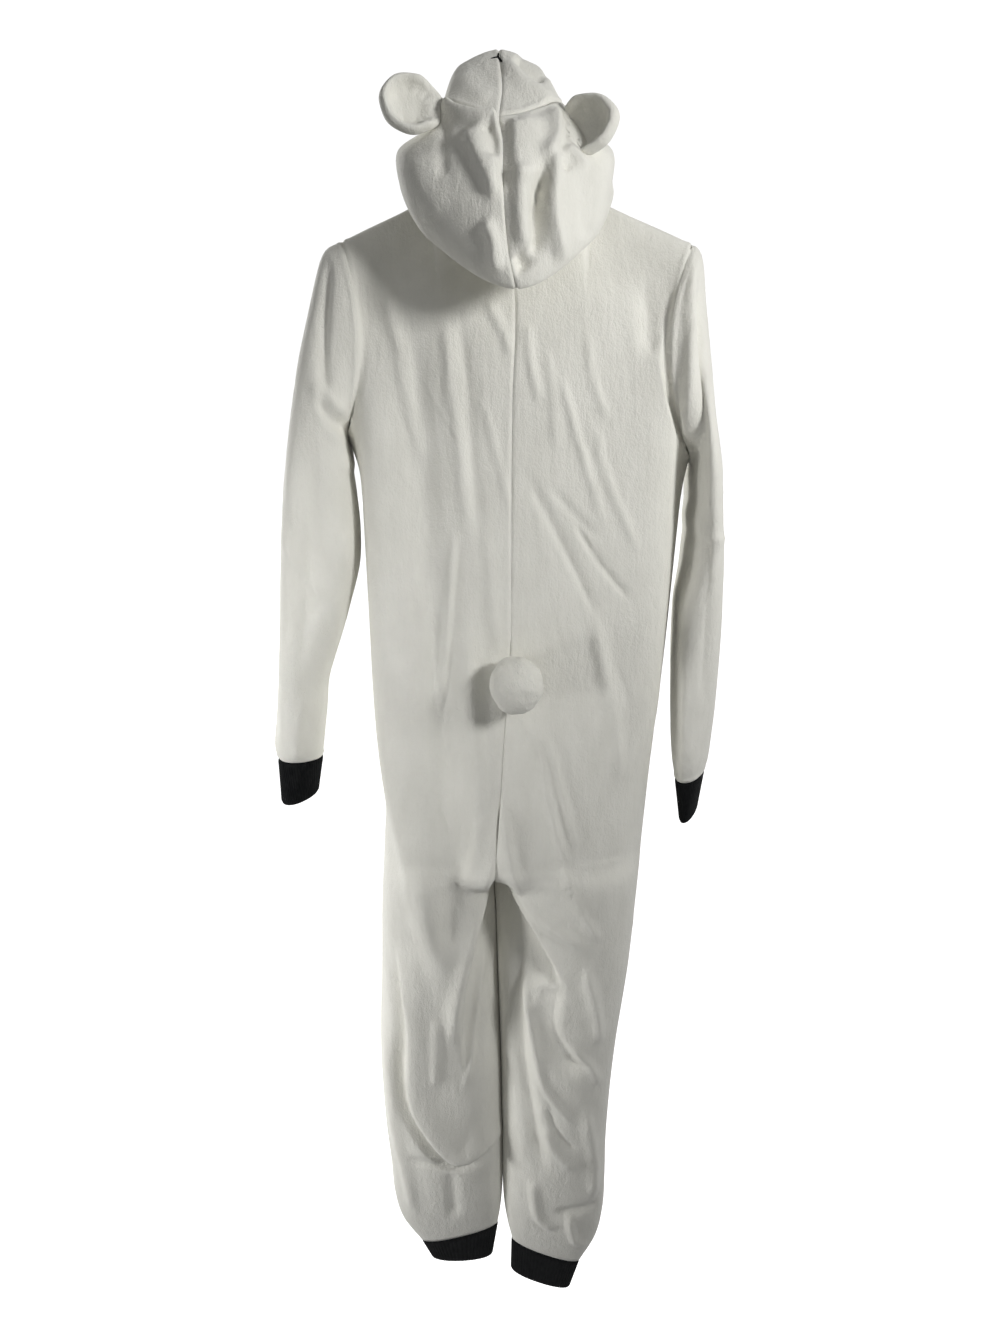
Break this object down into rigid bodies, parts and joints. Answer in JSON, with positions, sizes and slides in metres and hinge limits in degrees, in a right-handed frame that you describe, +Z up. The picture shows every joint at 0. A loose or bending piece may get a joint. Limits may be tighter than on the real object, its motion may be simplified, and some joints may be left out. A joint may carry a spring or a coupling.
{
  "type": "polar bear onesie on a hanger",
  "caption": "Hooded one-piece fleece garment with round ears, a ball tail and ribbed cuffs, hanging on its hanger.",
  "frame": {"origin": "the inside of the hanger's hook, where it rests on what holds it up", "axes": "+Z up, +X the wearer's right, which is the right of a view from behind, and the garment's back faces -Y"},
  "size_m": [0.5652, 0.2311, 1.6788],
  "materials": {
    "fleece": "matt off-white short-napped fleece",
    "rib": "matt black rib knit",
    "tape": "matt off-white woven tape",
    "zip": "satin off-white coil",
    "metal": "satin nickel",
    "hanger": "satin black moulding"
  },
  "bodies": {
    "garment": {"back_left": "fleece", "back_right": "fleece", "front_left": "fleece", "front_right": "fleece", "sleeve_left": "fleece", "sleeve_right": "fleece", "wrist_cuff_left": "rib", "wrist_cuff_right": "rib", "ankle_cuff_left": "rib", "ankle_cuff_right": "rib", "hood_back_left": "fleece", "hood_crown_left": "fleece", "hood_back_right": "fleece", "hood_crown_right": "fleece", "ear_left": "fleece", "ear_right": "fleece", "tail": "fleece", "zip_tape_left": "tape", "zip_tape_right": "tape", "zip_chain": "zip", "zip_slider": "metal", "hanger": "hanger"},
    "pull_tab": {"zip_pull": "metal"}
  },
  "joints": [
    {"name": "pull_tab_swing", "type": "hinge", "parent": "garment", "child": "pull_tab", "pos_m": [0.01787, 0.05594, -0.213], "axis": [1, 0, 0], "range_deg": [0, 150]}
  ]
}
